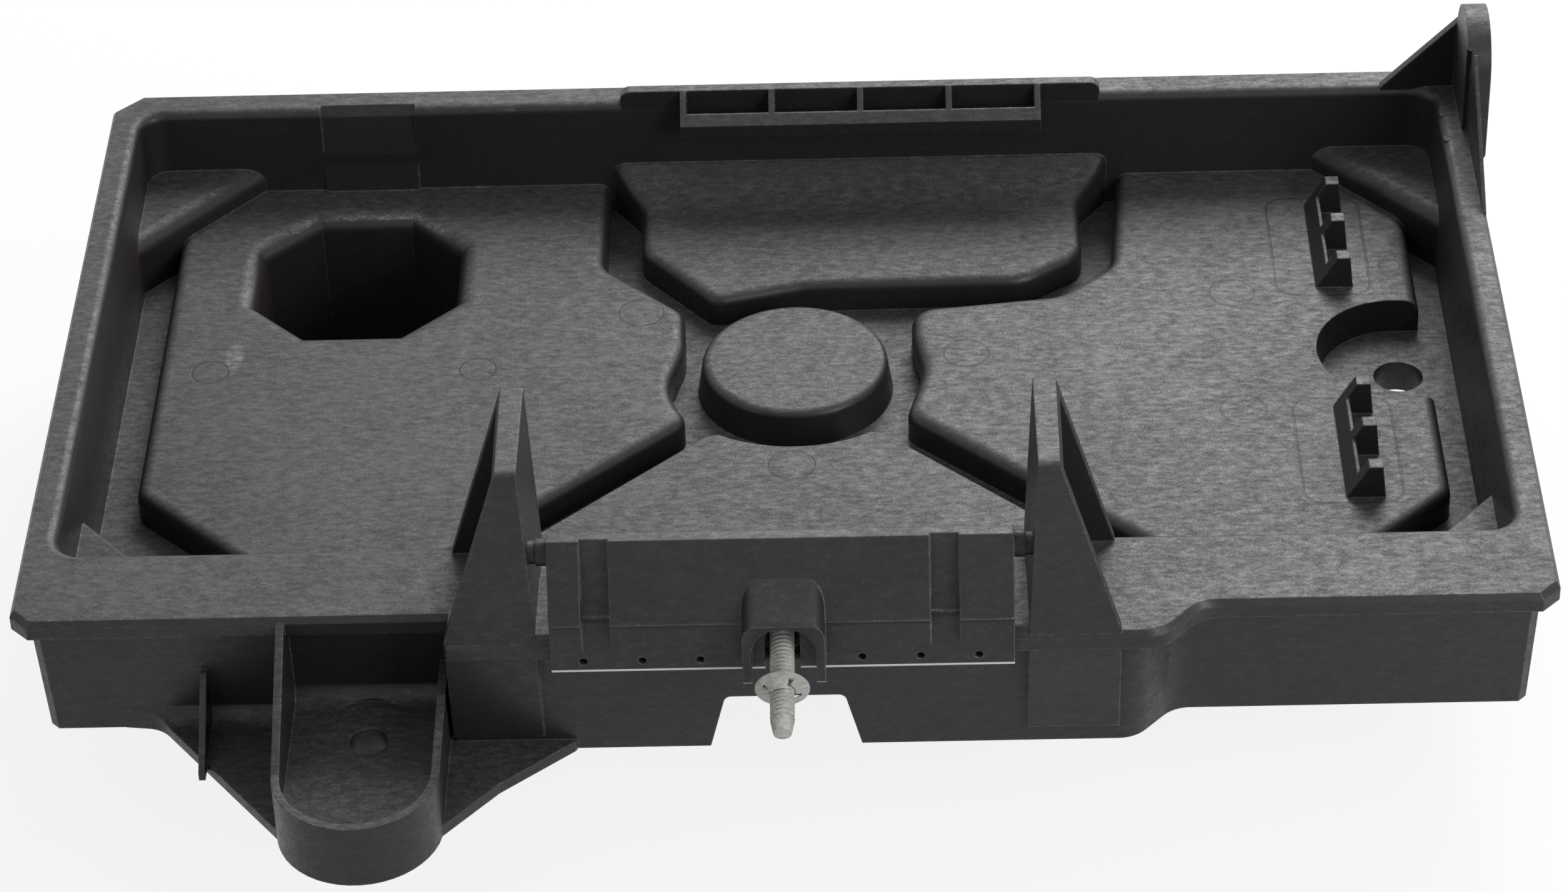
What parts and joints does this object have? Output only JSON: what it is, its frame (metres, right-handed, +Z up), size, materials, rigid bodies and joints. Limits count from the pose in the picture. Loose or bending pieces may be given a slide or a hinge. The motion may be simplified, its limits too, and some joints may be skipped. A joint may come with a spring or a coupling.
{
  "type": "car battery tray",
  "caption": "Moulded car battery tray: rimmed well with raised pads, deep pocket, side ear, corner bracket and a hinged hold-down clamp drawn in by a threaded stud.",
  "frame": {"origin": "axis of the bolt hole in the floor, at the underside of the channel floor", "axes": "+X along the tray towards the corner bracket, +Y from the clamp wall to the comb wall, +Z up"},
  "size_m": [0.3758, 0.2845, 0.1199],
  "materials": {
    "tray_plastic": "black glass-filled polypropylene with pale fibre mottle on upward faces",
    "clamp_plastic": "smooth dark grey-black moulding",
    "zinc_steel": "dull zinc-plated steel",
    "spring_steel": "dull zinc-plated sheet spring steel"
  },
  "bodies": {
    "tray_body": {"tray": "tray_plastic", "clamp_stud": "zinc_steel", "push_on_retainer": "spring_steel"},
    "clamp_body": {"hold_down_clamp": "clamp_plastic"}
  },
  "joints": [
    {"name": "clamp_hinge", "type": "hinge", "parent": "tray_body", "child": "clamp_body", "pos_m": [-0.1618, -0.1384, 0.059], "axis": [-1, 0, 0], "range_deg": [0, 5]}
  ]
}
